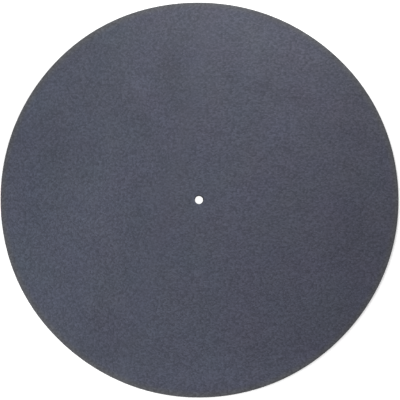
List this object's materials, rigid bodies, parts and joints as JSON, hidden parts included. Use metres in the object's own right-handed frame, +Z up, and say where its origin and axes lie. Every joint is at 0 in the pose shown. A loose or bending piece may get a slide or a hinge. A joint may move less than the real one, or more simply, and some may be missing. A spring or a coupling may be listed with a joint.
{
  "type": "turntable platter mat",
  "caption": "Round flat leather mat that lies on a record player's platter and carries the record, with a small central spindle hole.",
  "frame": {"origin": "centre of the spindle hole, on the underside of the mat", "axes": "+Z up along the spindle hole's axis, out of the grain side; X and Y lie in the underside, with no preferred direction"},
  "size_m": [0.3, 0.3, 0.002],
  "materials": {
    "slate_leather": "dyed dark slate blue-grey on the grain side, fine soft grain, low satin sheen, plain cut edge, plain suede underside"
  },
  "bodies": {
    "root": {"platter_mat": "slate_leather"}
  },
  "joints": []
}
